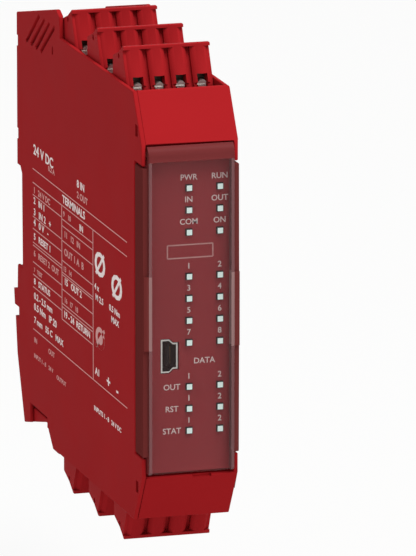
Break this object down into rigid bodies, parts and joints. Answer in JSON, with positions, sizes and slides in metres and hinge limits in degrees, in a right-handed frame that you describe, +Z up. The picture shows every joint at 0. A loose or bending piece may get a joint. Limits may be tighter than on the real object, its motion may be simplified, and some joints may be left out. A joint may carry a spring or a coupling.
{
  "type": "modular safety controller",
  "caption": "Slim red rail-mounted safety control module with plug-in screw terminals above and below, a tinted hinged front cover over status lights, and a sprung rail catch.",
  "frame": {"origin": "middle of the rail seat: in the plane where the mounting rail touches the housing, at the middle of the module's width and of the rail's height", "axes": "+X to the right across the module's width, +Y to the rear towards the rail, +Z up"},
  "size_m": [0.0226, 0.1101, 0.1142],
  "materials": {
    "housing_plastic": "fine matt moulded polyamide, signal red",
    "plug_plastic": "moulded polyamide, signal red",
    "panel_plastic": "matt moulded panel, signal red",
    "smoke_cover": "clear moulded polycarbonate, smoke tint",
    "light_guide_clear": "clear acrylic, frosted ends",
    "led_package": "cast epoxy",
    "circuit_board": "solder mask over glass laminate",
    "plated_steel": "bright nickel plate",
    "tinned_pin": "tin plate",
    "clamp_brass": "nickel-plated brass",
    "gold_contact": "thin gold plate",
    "black_plastic": "glass-filled polyester",
    "chip_epoxy": "moulded epoxy",
    "can_aluminium": "drawn can",
    "catch_plastic": "moulded acetal, black"
  },
  "bodies": {
    "housing": {"housing_body": "housing_plastic", "side_cover": "housing_plastic", "front_panel": "panel_plastic", "light_guide": "light_guide_clear", "indicator_leds": "led_package", "front_board": "circuit_board", "usb_shell": "plated_steel", "usb_tongue": "black_plastic", "usb_contacts": "gold_contact", "main_board": "circuit_board", "upper_terminal_board": "circuit_board", "lower_terminal_board": "circuit_board", "logic_board": "circuit_board", "board_connector": "black_plastic", "processor_a": "chip_epoxy", "processor_b": "chip_epoxy", "supply_capacitors": "can_aluminium", "supply_choke": "chip_epoxy", "output_drivers": "chip_epoxy", "input_couplers": "chip_epoxy", "bus_socket": "black_plastic", "bus_contacts": "gold_contact", "catch_spring": "plated_steel", "upper_rear_header": "black_plastic", "upper_rear_pins": "tinned_pin", "upper_middle_header": "black_plastic", "upper_middle_pins": "tinned_pin", "upper_front_header": "black_plastic", "upper_front_pins": "tinned_pin", "lower_rear_header": "black_plastic", "lower_rear_pins": "tinned_pin", "lower_middle_header": "black_plastic", "lower_middle_pins": "tinned_pin", "lower_front_header": "black_plastic", "lower_front_pins": "tinned_pin"},
    "cover": {"front_cover": "smoke_cover"},
    "catch": {"rail_catch": "catch_plastic"},
    "upper_rear_terminal": {"upper_rear_plug": "plug_plastic", "upper_rear_screws": "plated_steel", "upper_rear_clamps": "clamp_brass"},
    "upper_middle_terminal": {"upper_middle_plug": "plug_plastic", "upper_middle_screws": "plated_steel", "upper_middle_clamps": "clamp_brass"},
    "upper_front_terminal": {"upper_front_plug": "plug_plastic", "upper_front_screws": "plated_steel", "upper_front_clamps": "clamp_brass"},
    "lower_rear_terminal": {"lower_rear_plug": "plug_plastic", "lower_rear_screws": "plated_steel", "lower_rear_clamps": "clamp_brass"},
    "lower_middle_terminal": {"lower_middle_plug": "plug_plastic", "lower_middle_screws": "plated_steel", "lower_middle_clamps": "clamp_brass"},
    "lower_front_terminal": {"lower_front_plug": "plug_plastic", "lower_front_screws": "plated_steel", "lower_front_clamps": "clamp_brass"}
  },
  "joints": [
    {"name": "cover_hinge", "type": "hinge", "parent": "housing", "child": "cover", "pos_m": [0, -0.10475, 0.0369], "axis": [-1, 0, 0], "range_deg": [0, 95]},
    {"name": "catch_slide", "type": "slide", "parent": "housing", "child": "catch", "axis": [0, 0, -1], "range_m": [0, 0.0035], "stiffness_N_per_m": 900, "springref_m": -0.003, "deforming": ["catch_spring"]},
    {"name": "upper_rear_unplug", "type": "slide", "parent": "housing", "child": "upper_rear_terminal", "axis": [0, 0, 1], "range_m": [0, 0.013]},
    {"name": "upper_middle_unplug", "type": "slide", "parent": "housing", "child": "upper_middle_terminal", "axis": [0, 0, 1], "range_m": [0, 0.013]},
    {"name": "upper_front_unplug", "type": "slide", "parent": "housing", "child": "upper_front_terminal", "axis": [0, 0, 1], "range_m": [0, 0.013]},
    {"name": "lower_rear_unplug", "type": "slide", "parent": "housing", "child": "lower_rear_terminal", "axis": [0, 0, -1], "range_m": [0, 0.013]},
    {"name": "lower_middle_unplug", "type": "slide", "parent": "housing", "child": "lower_middle_terminal", "axis": [0, 0, -1], "range_m": [0, 0.013]},
    {"name": "lower_front_unplug", "type": "slide", "parent": "housing", "child": "lower_front_terminal", "axis": [0, 0, -1], "range_m": [0, 0.013]}
  ]
}
